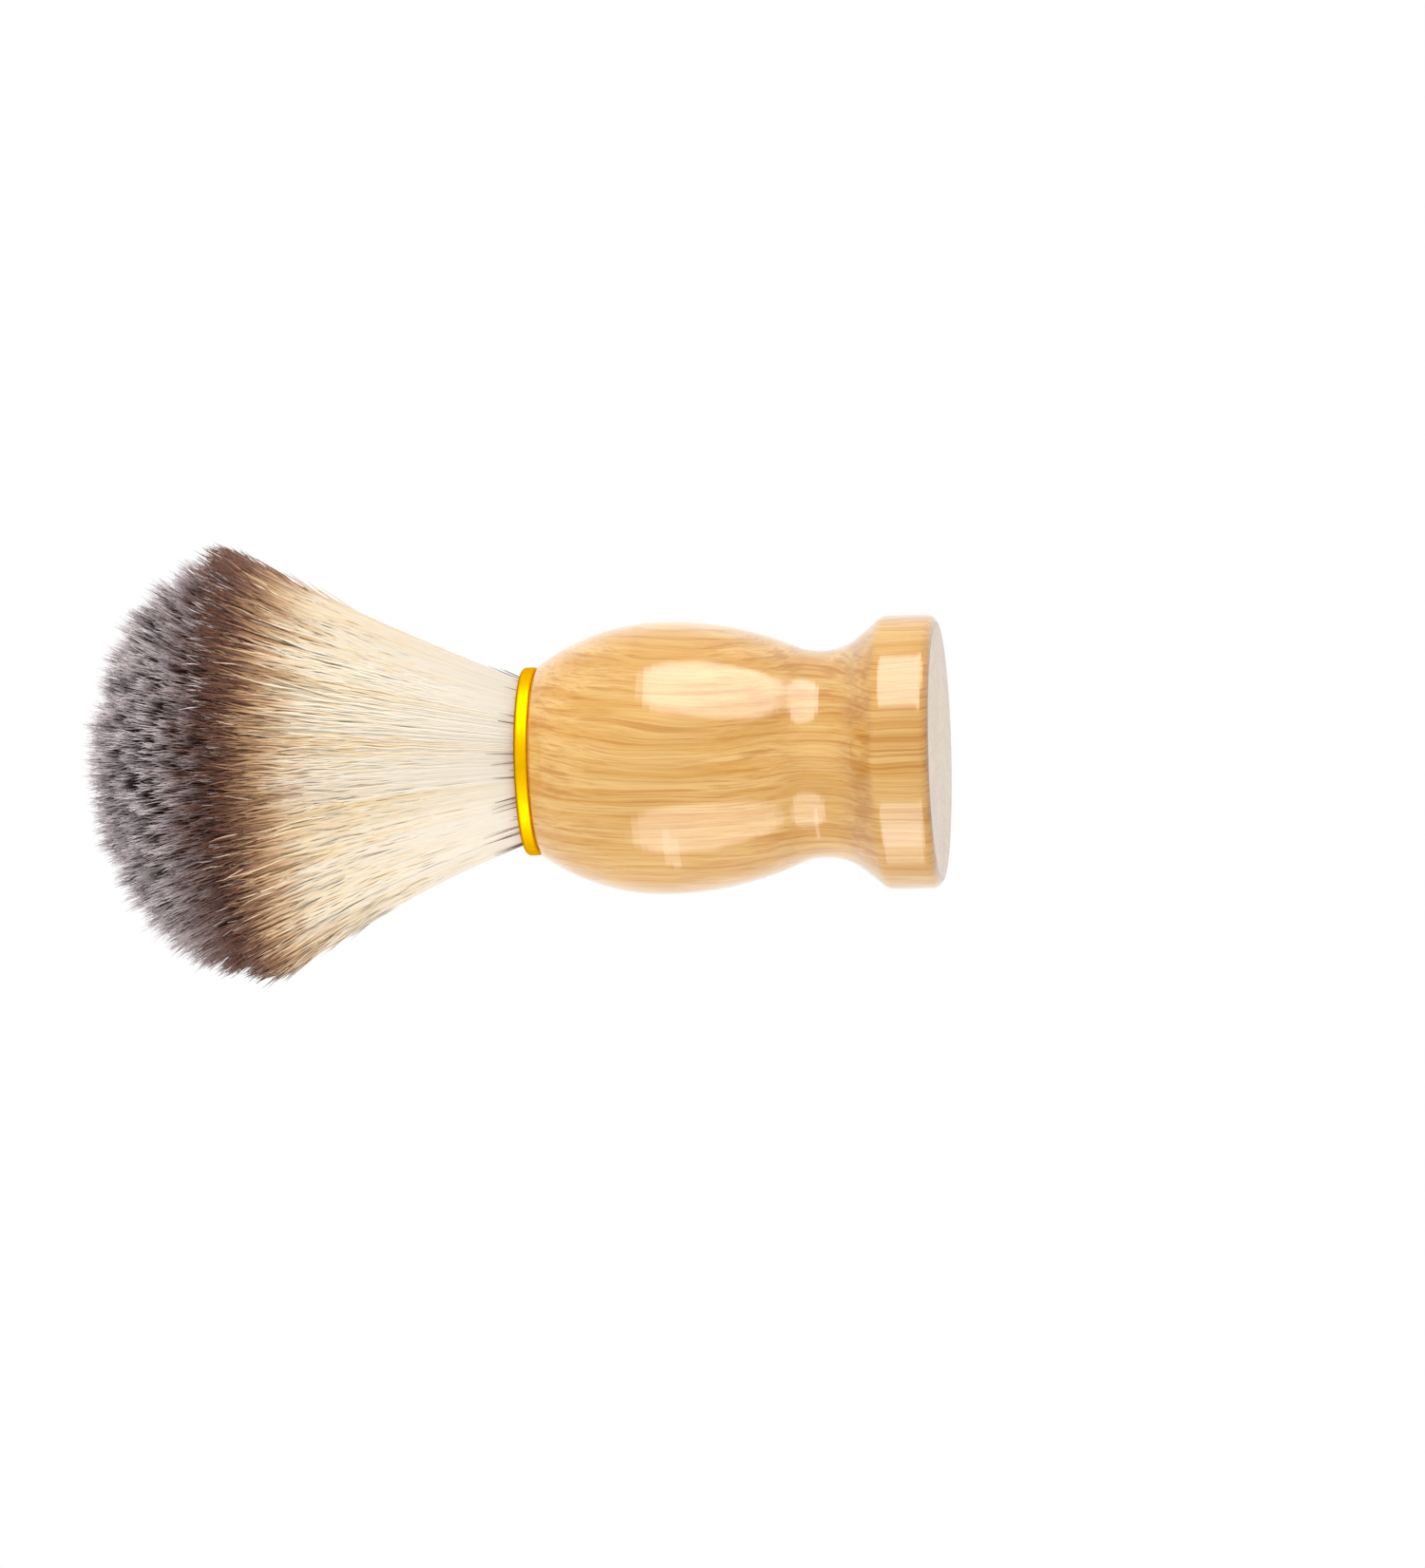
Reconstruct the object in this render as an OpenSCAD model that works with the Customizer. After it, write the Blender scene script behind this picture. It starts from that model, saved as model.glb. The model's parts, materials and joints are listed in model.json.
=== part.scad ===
// Shaving brush: turned wooden handle, metal ferrule and a glued-in knot of fibres.
// Millimetres. It stands on its foot at z = 0, and the fibres point up along +Z.

/* [Handle] */

// Height of the wooden handle
handle_height = 51.25; // [42:0.25:64]
// Radius of the rim at the foot
foot_radius = 17.4; // [15:0.1:22]
// Round on the lower edge of the foot
foot_edge_round = 1.3; // [0.5:0.1:2]
// Round between the rim and the slope above it
rim_shoulder_round = 2; // [1:0.1:3]
// Slope from the rim to the neck, in degrees from the axis
neck_slope = 40; // [30:1:50]
// Radius of the hollow turned round the neck
neck_hollow = 8; // [6:0.25:10]
// Height of the neck's narrowest point above the foot
neck_height = 14.83; // [13:0.1:18]
// Height of the belly's widest point above the foot
belly_height = 35; // [30:0.25:42]
// How far the belly stands out beyond the handle's top edge
belly_rise = 5.35; // [4:0.1:7]
// How far the neck lies in from the belly
neck_depth = 4.22; // [3:0.1:5]
// Round on the handle's top edge
top_edge_round = 0.4; // [0.2:0.1:0.8]

/* [Ferrule] */

// Height of the collar that shows between wood and fibres
collar_height = 1.8; // [1.2:0.1:3]
// How far the collar stands out beyond the sleeve
collar_lip = 0.9; // [0.6:0.1:1.5]
// Round on the collar's edges
collar_edge_round = 0.45; // [0.1:0.05:0.6]
// Wall of the sleeve that goes down into the wood
sleeve_wall = 0.5; // [0.4:0.05:0.8]
// Length of the sleeve below the collar
sleeve_length = 12.7; // [8:0.1:15]

/* [Knot] */

// Loft of the knot, from the collar to the fibre tips
loft = 56.95; // [45:0.25:70]
// Radius of the fibre bundle where it leaves the collar
knot_radius = 10.25; // [9:0.05:12.5]
// Radius of the knot at its widest
bloom_radius = 28; // [22:0.5:34]
// Height of the widest point above the collar
bloom_height = 35.9; // [28:0.1:44]
// How straight the flare is, where 1 is a plain cone
flare_straightness = 0.79; // [0.6:0.01:1]
// Depth of the resin plug that holds the roots
plug_depth = 6.5; // [5:0.1:8]
// Depth of the fibre ends in the plug
root_in_plug = 5; // [3:0.1:6]
// Thickness of the binding thread
thread_thickness = 0.7; // [0.4:0.05:0.9]
// Turns of the binding thread
thread_turns = 4; // [2:1:5]
// Share of its thickness that each turn of thread runs into the next
thread_overlap = 0.1; // [0.05:0.05:0.3]
// Height of the first turn above the plug
thread_above_plug = 1.2; // [0.8:0.1:2]
// Length over which the bundle widens again above the thread
waist_run = 1.1; // [0.8:0.1:2]

/* [Fits] */

// Gap between the fibre bundle and the sleeve
bundle_clearance = 0.35; // [0.2:0.05:0.6]
// Thickness of glue round the sleeve
glue_film = 0.15; // [0.1:0.05:0.3]
// Depth of glue under the sleeve
glue_bed = 1.5; // [0.8:0.1:2.5]
// Distance that the glue film ends below the collar
glue_setback = 0.6; // [0.3:0.1:1.5]
// Gap between the bound waist and the thread
thread_clearance = 0.03; // [0.02:0.01:0.1]
// How far the wood's top edge stands out beyond the collar
wood_step = 0.02; // [0:0.01:0.3]

/* [Bending] */

// Gap between the parts of the knot that turn on one another
bend_gap = 0.3; // [0.2:0.05:0.6]
// How far the lower turning face stands out beyond the bundle's radius
lower_turn_margin = 2.75; // [2.5:0.05:5]
// Height of the upper pivot above the lower one
pivot_step = 9; // [7:0.25:12]
// How much larger the upper turning face is than the lower one
upper_turn_step = 3.6; // [3:0.1:6]

/* [Hidden] */

$fn = 160;
EPS = 0.01;
OVERRUN = 1; // how far a cut goes on past the face it opens

// what fits inside what, from the knot outwards
sleeve_bore = knot_radius + bundle_clearance;
sleeve_outer = sleeve_bore + sleeve_wall;
socket_radius = sleeve_outer + glue_film;
collar_radius = sleeve_outer + collar_lip;

// heights
collar_bottom = handle_height;
collar_top = handle_height + collar_height;
sleeve_bottom = handle_height - sleeve_length;
socket_floor = sleeve_bottom - glue_bed;
plug_top = sleeve_bottom + plug_depth;
root_bottom = plug_top - root_in_plug;
overall_height = collar_top + loft;

// handle outline
top_radius = collar_radius + wood_step;
belly_radius = top_radius + belly_rise;
neck_radius = belly_radius - neck_depth;
neck_centre_r = neck_radius + neck_hollow;
upper_length = handle_height - belly_height;
upper_curve = (pow(upper_length, 2) + pow(belly_rise, 2)) / (2 * belly_rise);
neck_offset = neck_centre_r - belly_radius;
neck_drop = belly_height - neck_height;
lower_curve = (pow(neck_offset, 2) + pow(neck_drop, 2) - pow(neck_hollow, 2)) / (2 * neck_depth);
lower_centre_r = belly_radius - lower_curve;
upper_centre_r = belly_radius - upper_curve;
meet_angle = atan2(neck_height - belly_height, neck_centre_r - lower_centre_r);
slope_r = neck_centre_r - neck_hollow * cos(neck_slope);
slope_z = neck_height - neck_hollow * sin(neck_slope);
shoulder_r = foot_radius - rim_shoulder_round;
shoulder_z = slope_z
  - (rim_shoulder_round - (slope_r - shoulder_r) * cos(neck_slope)) / sin(neck_slope);
top_angle = asin(upper_length / upper_curve);
top_start = asin((upper_length - top_edge_round) / upper_curve);

// thread and the waist it pulls in
thread_radius = thread_thickness / 2;
waist_radius = sleeve_bore - thread_thickness - thread_clearance - bundle_clearance;
thread_ring = waist_radius + thread_radius + thread_clearance;
thread_pitch = (1 - thread_overlap) * thread_thickness;
thread_low = plug_top + thread_above_plug;
thread_high = thread_low + thread_pitch * (thread_turns - 1);

// pivots and turning faces of the bending knot
lower_turn_radius = knot_radius + lower_turn_margin;
upper_turn_radius = lower_turn_radius + upper_turn_step;
lower_pivot_z = collar_top;
upper_pivot_z = lower_pivot_z + pivot_step;
bloom_z = collar_top + bloom_height;
past_knot = bloom_radius + OVERRUN;
flare_a = flare_straightness * (bloom_radius - knot_radius) / bloom_height;
flare_b = (1 - flare_straightness) * (bloom_radius - knot_radius) / pow(bloom_height, 2);

FLARE_STEPS = 18;
DOME_STEPS = 16;
ARC_STEPS = 18;
EDGE_STEPS = 6;
THREAD_SIDES = 24;

WOOD = [0.86, 0.66, 0.38];
GOLD = [0.90, 0.72, 0.12];
GLUE = [0.80, 0.76, 0.62];
RESIN = [0.72, 0.62, 0.42];
THREAD = [0.90, 0.88, 0.82];
FIBRE = [0.90, 0.83, 0.72];
TIP = [0.62, 0.54, 0.50];

function arc(r, z, radius, from, to, steps) =
  [for (i = [0:steps]) [r + radius * cos(from + (to - from) * i / steps),
                        z + radius * sin(from + (to - from) * i / steps)]];

// radius of the flaring bundle at a height above the collar
function flare(h) = knot_radius + flare_a * h + flare_b * pow(h, 2);

function handle_outline() = concat(
  [[0, 0]],
  arc(foot_radius - foot_edge_round, foot_edge_round, foot_edge_round, -90, 0, EDGE_STEPS),
  arc(shoulder_r, shoulder_z, rim_shoulder_round, 0, neck_slope, EDGE_STEPS),
  arc(neck_centre_r, neck_height, neck_hollow, 180 + neck_slope, 180 + meet_angle, ARC_STEPS),
  [for (i = [1:ARC_STEPS])
    [lower_centre_r + lower_curve * cos(meet_angle * (1 - i / ARC_STEPS)),
     belly_height + lower_curve * sin(meet_angle * (1 - i / ARC_STEPS))]],
  [for (i = [1:ARC_STEPS])
    [upper_centre_r + upper_curve * cos(top_start * i / ARC_STEPS),
     belly_height + upper_curve * sin(top_start * i / ARC_STEPS)]],
  [[top_radius - top_edge_round, handle_height]],
  [[0, handle_height]]);

module handle() {
  color(WOOD)
  difference() {
    rotate_extrude()
      polygon(handle_outline());
    translate([0, 0, socket_floor])
      cylinder(r = socket_radius, h = handle_height - socket_floor + OVERRUN);
  }
}

module ferrule() {
  color(GOLD)
  difference() {
    union() {
      translate([0, 0, sleeve_bottom])
        cylinder(r = sleeve_outer, h = sleeve_length + EPS);
      rotate_extrude()
        polygon(concat(
          [[0, collar_bottom]],
          arc(collar_radius - collar_edge_round, collar_bottom + collar_edge_round,
              collar_edge_round, -90, 0, EDGE_STEPS),
          arc(collar_radius - collar_edge_round, collar_top - collar_edge_round,
              collar_edge_round, 0, 90, EDGE_STEPS),
          [[0, collar_top]]));
    }
    translate([0, 0, sleeve_bottom - OVERRUN])
      cylinder(r = sleeve_bore, h = sleeve_length + collar_height + 2 * OVERRUN);
  }
}

module socket_adhesive() {
  color(GLUE)
  difference() {
    translate([0, 0, socket_floor])
      cylinder(r = socket_radius, h = collar_bottom - socket_floor - glue_setback);
    translate([0, 0, sleeve_bottom])
      cylinder(r = sleeve_outer, h = handle_height);
  }
}

module resin_plug() {
  color(RESIN)
  difference() {
    translate([0, 0, sleeve_bottom])
      cylinder(r = sleeve_bore, h = plug_depth);
    translate([0, 0, root_bottom])
      cylinder(r = knot_radius, h = plug_depth);
  }
}

module binding_thread() {
  color(THREAD)
  for (i = [0:thread_turns - 1])
    translate([0, 0, thread_low + i * thread_pitch])
      rotate_extrude()
        translate([thread_ring, 0])
          circle(r = thread_radius, $fn = THREAD_SIDES);
}

// the whole bundle of fibres, bound waist and bloom
module bundle() {
  rotate_extrude()
    polygon(concat(
      [[0, root_bottom],
       [knot_radius, root_bottom],
       [knot_radius, plug_top],
       [waist_radius, thread_low - thread_thickness],
       [waist_radius, thread_high + thread_thickness],
       [knot_radius, thread_high + thread_thickness + waist_run]],
      [for (i = [0:FLARE_STEPS])
        [flare(bloom_height * i / FLARE_STEPS), collar_top + bloom_height * i / FLARE_STEPS]],
      [for (i = [1:DOME_STEPS - 1])
        [bloom_radius * cos(90 * i / DOME_STEPS),
         bloom_z + (overall_height - bloom_z) * sin(90 * i / DOME_STEPS)]],
      [[0, overall_height]]));
}

module knot_root() {
  color(FIBRE)
  intersection() {
    bundle();
    union() {
      translate([0, 0, lower_pivot_z])
        sphere(r = lower_turn_radius);
      translate([0, 0, root_bottom - OVERRUN])
        cylinder(r = past_knot, h = lower_pivot_z - root_bottom + OVERRUN);
    }
  }
}

module knot_lower() {
  color(FIBRE)
  difference() {
    intersection() {
      bundle();
      union() {
        translate([0, 0, upper_pivot_z])
          sphere(r = upper_turn_radius);
        translate([0, 0, lower_pivot_z])
          cylinder(r = past_knot, h = pivot_step);
      }
    }
    translate([0, 0, root_bottom - OVERRUN])
      cylinder(r = past_knot, h = lower_pivot_z - root_bottom + OVERRUN);
    translate([0, 0, lower_pivot_z])
      sphere(r = lower_turn_radius + bend_gap);
  }
}

module knot_upper() {
  color(TIP)
  difference() {
    bundle();
    translate([0, 0, root_bottom - OVERRUN])
      cylinder(r = past_knot, h = upper_pivot_z - root_bottom + OVERRUN);
    translate([0, 0, upper_pivot_z])
      sphere(r = upper_turn_radius + bend_gap);
  }
}

handle();
ferrule();
socket_adhesive();
resin_plug();
binding_thread();
knot_root();
knot_lower();
knot_upper();
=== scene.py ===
"""Shaving brush: lacquered wooden handle, gold collar and a two-tone knot of soft fibres.

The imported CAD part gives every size. This script finishes the turned pieces and grows the
fibres in the space that the plain knot solids hold.
"""

import json
import math

import bpy
import numpy as np
from mathutils import Matrix, Vector


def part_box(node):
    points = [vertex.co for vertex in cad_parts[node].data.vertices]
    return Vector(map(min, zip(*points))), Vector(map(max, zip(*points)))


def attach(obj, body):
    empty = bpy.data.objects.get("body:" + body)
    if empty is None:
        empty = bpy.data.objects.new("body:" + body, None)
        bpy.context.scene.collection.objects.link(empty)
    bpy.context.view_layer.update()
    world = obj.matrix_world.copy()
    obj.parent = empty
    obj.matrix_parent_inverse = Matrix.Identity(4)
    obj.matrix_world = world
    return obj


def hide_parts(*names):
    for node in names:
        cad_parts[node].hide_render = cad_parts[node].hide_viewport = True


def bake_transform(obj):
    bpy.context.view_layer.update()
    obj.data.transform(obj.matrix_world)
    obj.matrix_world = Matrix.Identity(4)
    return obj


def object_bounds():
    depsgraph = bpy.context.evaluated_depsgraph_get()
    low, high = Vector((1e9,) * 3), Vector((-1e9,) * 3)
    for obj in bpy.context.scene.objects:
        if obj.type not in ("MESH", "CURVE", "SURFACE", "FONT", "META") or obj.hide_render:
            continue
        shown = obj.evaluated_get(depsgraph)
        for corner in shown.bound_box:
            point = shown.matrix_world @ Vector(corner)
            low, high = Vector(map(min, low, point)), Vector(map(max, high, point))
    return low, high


bl_info = {
    "name": "Shaving Brush",
    "version": (1, 0, 0),
    "blender": (4, 5, 0),
    "location": "View3D > Sidebar > Brush",
    "description": "Finishes the wood and metal of a shaving brush and grows its knot of fibres",
    "category": "Object",
}

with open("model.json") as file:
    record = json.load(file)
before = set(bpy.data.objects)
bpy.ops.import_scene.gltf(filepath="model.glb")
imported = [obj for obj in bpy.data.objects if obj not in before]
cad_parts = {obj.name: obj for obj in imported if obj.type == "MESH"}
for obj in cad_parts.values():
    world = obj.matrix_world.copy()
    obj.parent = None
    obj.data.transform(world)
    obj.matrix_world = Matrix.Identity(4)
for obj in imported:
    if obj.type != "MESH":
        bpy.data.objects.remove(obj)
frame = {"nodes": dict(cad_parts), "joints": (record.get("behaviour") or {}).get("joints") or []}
LOWEST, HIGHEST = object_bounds()
MM = 0.001

# the CAD sizes that everything here is worked out from, in metres
COLLAR_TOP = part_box("ferrule")[1].z
FOOT_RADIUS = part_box("handle")[1].x
ROOT_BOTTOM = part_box("knot_root")[0].z
PLUG_MARGIN = 0.35 * MM  # how far the resin plug stands out beyond the bundle
MOUTH_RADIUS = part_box("resin_plug")[1].x - PLUG_MARGIN
BLOOM_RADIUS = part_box("knot_upper")[1].x
TIP_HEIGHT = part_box("knot_upper")[1].z
LOFT = TIP_HEIGHT - COLLAR_TOP
UPPER_PIVOT = frame["joints"][1]["pos_m"][2]

# the bundle's flare, as the CAD outline has it: heights are above the collar
BLOOM_SHARE = 0.63  # the widest point, as a share of the loft
BLOOM_HEIGHT = BLOOM_SHARE * LOFT
STRAIGHTNESS = 0.79  # 1 is a plain cone
FLARE_A = STRAIGHTNESS * (BLOOM_RADIUS - MOUTH_RADIUS) / BLOOM_HEIGHT
FLARE_B = (1 - STRAIGHTNESS) * (BLOOM_RADIUS - MOUTH_RADIUS) / BLOOM_HEIGHT**2
DOME_HEIGHT = LOFT - BLOOM_HEIGHT

# the dense middle of the bundle
CORE_BOTTOM = ROOT_BOTTOM - COLLAR_TOP
CORE_TOP = BLOOM_HEIGHT - 6 * MM
CORE_SHARE = 0.9  # of the bundle's radius, at the collar
CORE_NARROWING = 0.05  # how much smaller that share is at the core's top
CORE_DOME_DEPTH = 7 * MM  # the core's own dome ends this far below the fibre tips
CORE_STEPS = 14

# where the fibres are split into a lower and an upper piece, a little above the upper pivot
SEAM = UPPER_PIVOT - COLLAR_TOP + 2 * MM

BUNDLE_LEAN = 0.8 * MM
DOME_SHIFT = 0.9 * MM  # the dome is trimmed this far off the bundle's middle, to its upper side (+X)
FIBRE_BOTTOM = -3 * MM  # fibres of the side start this far down in the collar
DOME_FIBRE = 13 * MM  # length of a dome fibre that is modelled
THINNEST = 0.03 * MM  # a fibre's width at its very tip
LOWER_STEPS, UPPER_STEPS, STRAY_STEPS, DOME_STEPS = 9, 24, 6, 10  # rings along a fibre's tube
DOME_PIECES = 7
SIDE_EVENNESS, DOME_EVENNESS = 0.85, 0.25  # how far fibres are lit as one surface
SIDE_SEED, STRAY_SEED, DOME_SEED = 11, 5, 23

# heights above the collar between which each colour turns into the next
TO_TAN = (25.5 * MM, 30.5 * MM)
TO_BROWN = (29.5 * MM, 34.5 * MM)
TO_UMBER = (40 * MM, 46 * MM)
TO_SIDE_FROST = (43 * MM, 47 * MM)
TO_DOME_FROST = (38.5 * MM, 45.5 * MM)
BAND_LENGTH = 60 * MM  # length of fibre that the colour bands are laid out on

# the map that the fibres' colours are read from
FIBRE_MAP = "OFBake"
COLUMNS = 512
COLUMNS_PER_LOCK = 4
MAP_ENDS = (0.004, 0.996)
RIBS = 3  # sides of a fibre's tube
GOLDEN_ANGLE = math.pi * (3 - math.sqrt(5))

# the wood: where the pith lies and how the grain is turned, in millimetres and radians
PITH_SIDE, PITH_DEPTH = 52.0, 14.0
GRAIN_TURN = (0.03, -0.03, 0.3)
RING_WARP = 3.6
# how often each pattern repeats in a millimetre: across the layers, along them and up the handle
WARP = (0.10, 0.06, 0.035)
PATCHES = (0.3, 0.2, 0.05)
BROAD_FIGURE = (0.7, 0.12, 0.012)
LINES = (2.7, 0.28, 0.018)
STREAKS = (7.0, 1.0, 0.045)
PORES = (8.0, 6.0, 0.2)
STROKES = (0.6, 0.4, 0.16)
CLOUDS = (0.09, 0.09, 0.07)

# the stage
FLOOR_RADIUS = 0.9
FLOOR_GAP = 0.05 * MM  # the floor lies this far below the foot
FLOOR_HOLE_INSET = 1.2 * MM
FLOOR_GLOW = 0.22  # light that the floor gives off to the camera
FLOOR_FADE = (0.12, 0.5)  # distances from the brush between which the floor fades out
LENS = 199.8  # focal length in millimetres
CAMERA_PLACE = (0, -1.1, -0.1)
FOOT_RIGHT, FOOT_UP, AXIS_TURN = 1.498, 0.216, 1.45  # where the foot and the axis are seen, in degrees


def tone(red, green, blue):
    """A colour given as it looks on a screen, 0 to 255, as the linear values that shaders take."""
    share = np.array([red, green, blue]) / 255
    linear = np.where(share <= 0.04045, share / 12.92, ((share + 0.055) / 1.055) ** 2.4)
    return tuple(float(x) for x in linear)


def colour_property(name, description, default):
    return bpy.props.FloatVectorProperty(
        name=name, description=description, subtype="COLOR", size=3, min=0, max=1, default=default
    )


def length_property(name, description, default):
    return bpy.props.FloatProperty(
        name=name, description=description, subtype="DISTANCE", unit="LENGTH", min=0, default=default
    )


def strength_property(name, description, default):
    return bpy.props.FloatProperty(name=name, description=description, min=0, default=default)


def count_property(name, description, least, default):
    return bpy.props.IntProperty(name=name, description=description, min=least, default=default)


class HandleSettings(bpy.types.PropertyGroup):
    """The look of the turned wooden handle."""

    pale_wood: colour_property("Pale wood", "The lightest wood between the grain lines", tone(238, 193, 117))
    warm_wood: colour_property("Warm wood", "The middle tone of the wood", tone(221, 163, 70))
    line_wood: colour_property("Grain line", "The dark lines along the grain", tone(196, 126, 30))
    end_wood: colour_property("End grain", "Wood that is cut across, on the slopes", tone(180, 108, 38))
    # painted sheen: a pale colour painted on the wood where it is seen edge-on, standing in for reflected
    # light
    painted_edge_sheen: colour_property("Painted edge sheen", "Painted sheen where the wood is seen edge-on", tone(255, 228, 186))
    ring_spacing: length_property("Ring spacing", "Distance between growth rings", 3.4 * MM)


class CollarSettings(bpy.types.PropertyGroup):
    """The look of the metal collar and its sleeve."""

    gold: colour_property("Gold", "Colour of the metal", tone(238, 186, 2))
    # painted reflection: darker gold painted where the collar faces up towards the knot, standing in for the
    # dark knot reflected in it
    painted_knot_reflection: colour_property("Painted knot reflection", "Darker gold painted beside the knot, as its reflection", tone(180, 112, 6))
    roughness: bpy.props.FloatProperty(
        name="Roughness", description="How brushed the metal is", subtype="FACTOR", min=0, max=1, default=0.42
    )


class KnotSettings(bpy.types.PropertyGroup):
    """The fibres of the knot, their shape and their colour bands."""

    cream: colour_property("Cream", "The fibre from the collar upwards", tone(255, 246, 230))
    honey: colour_property("Honey", "The warm shade of some locks", tone(247, 219, 172))
    tan: colour_property("Tan", "Where cream turns to brown", tone(210, 166, 122))
    brown: colour_property("Brown", "The dark band", tone(116, 75, 58))
    umber: colour_property("Umber", "Fibre just below the frosted tips", tone(60, 44, 44))
    lilac: colour_property("Lilac grey", "The frosted tips", tone(255, 241, 243))
    locks: count_property("Locks", "Locks of fibre round the side", 16, 512)
    lock_fibres: count_property("Fibres in a lock", "Fibres in each lock", 2, 11)
    tufts: count_property("Tufts", "Tufts over the dome", 50, 2560)
    tuft_fibres: count_property("Fibres in a tuft", "Fibres in each tuft", 2, 9)
    side_width: length_property("Side fibre width", "Thickness of a fibre at the side", 0.26 * MM)
    tip_width: length_property("Dome fibre width", "Thickness of a fibre in the dome", 0.2 * MM)
    crimp: length_property("Crimp", "How far a fibre waves to each side", 0.13 * MM)
    crimp_length: length_property("Crimp length", "Length of one wave", 7 * MM)
    strays: count_property("Strays", "Short dark ends at the collar", 0, 70)


class StageSettings(bpy.types.PropertyGroup):
    """Floor, lamps and camera."""

    floor: colour_property("Floor", "Colour of the floor", tone(244, 243, 241))
    ambient: strength_property("Ambient", "Strength of the light from all round", 0.74)
    main_lamp: strength_property("Main lamp", "Brightness of the lamp at the right", 5.0)
    fill_lamp: strength_property("Fill lamp", "Brightness of the lamp at the left", 1.7)
    front_card: strength_property("Front card", "Brightness of the large dim card in front", 2.7)


# ---------------- shader helpers


class Tree:
    """A short way to add and link nodes in a material or a node group."""

    def __init__(self, node_tree):
        self.nodes = node_tree.nodes
        self.links = node_tree.links

    def add(self, kind, inputs=None, **settings):
        """Adds a node. A value in inputs is a number, a colour or another node's output socket."""
        node = self.nodes.new(kind)
        for key, value in settings.items():
            setattr(node, key, value)
        for key, value in (inputs or {}).items():
            socket = node.inputs[key]
            if isinstance(value, bpy.types.NodeSocket):
                self.links.new(value, socket)
            elif socket.type == "RGBA" and len(value) == 3:
                socket.default_value = (*value, 1)
            else:
                socket.default_value = value
        return node

    def feed(self, shader, **results):
        """Links each result to the shader's socket of that name."""
        for key, result in results.items():
            self.links.new(result, shader.inputs[key.replace("_", " ")])

    def place(self):
        """The point on the surface, in the object's own axes."""
        return self.add("ShaderNodeTexCoord").outputs["Object"]

    def parts(self, vector):
        """A vector's x, y and z."""
        return self.add("ShaderNodeSeparateXYZ", {0: vector}).outputs

    def up_facing(self):
        """How far the surface faces up: 1 upwards, -1 downwards."""
        return self.parts(self.add("ShaderNodeNewGeometry").outputs["True Normal"])[2]

    def maths(self, operation, *values):
        """A Math node's result."""
        return self.add("ShaderNodeMath", dict(enumerate(values)), operation=operation).outputs[0]

    def times(self, first, second):
        """Two values multiplied."""
        return self.maths("MULTIPLY", first, second)

    def lighten(self, colour, value):
        """The colour at a share of its lightness."""
        return self.add("ShaderNodeHueSaturation", {"Color": colour, "Value": value}).outputs[0]

    def bump(self, height, strength, distance):
        """The normal of a surface raised by height."""
        values = {"Height": height, "Strength": strength, "Distance": distance}
        return self.add("ShaderNodeBump", values).outputs[0]

    def stretch(self, vector, scale, rotation=(0, 0, 0)):
        """The vector scaled and turned."""
        values = {"Vector": vector, "Scale": scale, "Rotation": rotation}
        return self.add("ShaderNodeMapping", values).outputs[0]

    def noise(self, vector, scale, detail=2.0, roughness=0.5):
        """Noise from 0 to 1 over the vector."""
        values = {"Vector": vector, "Scale": scale, "Detail": detail, "Roughness": roughness}
        return self.add("ShaderNodeTexNoise", values).outputs[0]

    def span(self, value, low, high, to_low=0.0, to_high=1.0):
        """The value moved from one range to another, and held inside it."""
        values = {0: value, 1: low, 2: high, 3: to_low, 4: to_high}
        return self.add("ShaderNodeMapRange", values, clamp=True).outputs[0]

    def mix(self, share, first, second, blend_type="MIX"):
        """Two colours mixed by share."""
        values = {0: share, 6: first, 7: second}
        return self.add("ShaderNodeMix", values, data_type="RGBA", blend_type=blend_type).outputs[2]

    def ramp(self, share, stops):
        """A colour ramp with a stop for each (place, colour)."""
        node = self.add("ShaderNodeValToRGB", {0: share})
        elements = node.color_ramp.elements
        while len(elements) < len(stops):
            elements.new(0.5)
        for element, (place, colour) in zip(elements, stops):
            element.position = place
            element.color = (*colour, 1)
        return node.outputs[0]


def new_material(name, **shader_values):
    """A material whose shader has these plain values: returns it, its Tree and the shader."""
    material = bpy.data.materials.new(name)
    material.use_nodes = True
    tree = Tree(material.node_tree)
    shader = tree.nodes["Principled BSDF"]
    for key, value in shader_values.items():
        socket = shader.inputs[key.replace("_", " ")]
        socket.default_value = (*value, 1) if socket.type == "RGBA" else value
    return material, tree, shader


def new_group(name, inputs, gives, kind="NodeSocketFloat"):
    """An empty node group with one result: returns its Tree, what it is given and the result's socket.

    inputs has each number's default, and None for a vector.
    """
    group = bpy.data.node_groups.new(name, "ShaderNodeTree")
    for label, default in inputs.items():
        given_kind = "NodeSocketVector" if default is None else "NodeSocketFloat"
        socket = group.interface.new_socket(label, in_out="INPUT", socket_type=given_kind)
        if default is not None:
            socket.default_value = default
    group.interface.new_socket(gives, in_out="OUTPUT", socket_type=kind)
    tree = Tree(group)
    given = tree.nodes.new("NodeGroupInput").outputs
    return tree, given, tree.nodes.new("NodeGroupOutput").inputs[gives]


def place_group(tree, name, inputs):
    """Puts the named group in a material: returns its outputs."""
    return tree.add("ShaderNodeGroup", inputs, node_tree=bpy.data.node_groups[name]).outputs


def add_marks(tree, shader, place, size, base, amount):
    """Takes the shader's roughness from the handling marks."""
    values = {"Vector": place, "Size": size, "Base": base, "Amount": amount}
    tree.feed(shader, Roughness=place_group(tree, "Handling marks", values)["Roughness"])


def turning_height(tree, place, pitch):
    """The height of the turning lines."""
    return place_group(tree, "Turning lines", {"Vector": place, "Pitch": pitch})["Height"]


def band_colour(tree, height, frost, lock, fibre):
    """The colour of a fibre at a height."""
    values = {"Height": height, "Frost": frost, "Lock": lock, "Fibre": fibre}
    return place_group(tree, "Fibre bands", values)["Color"]


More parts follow.
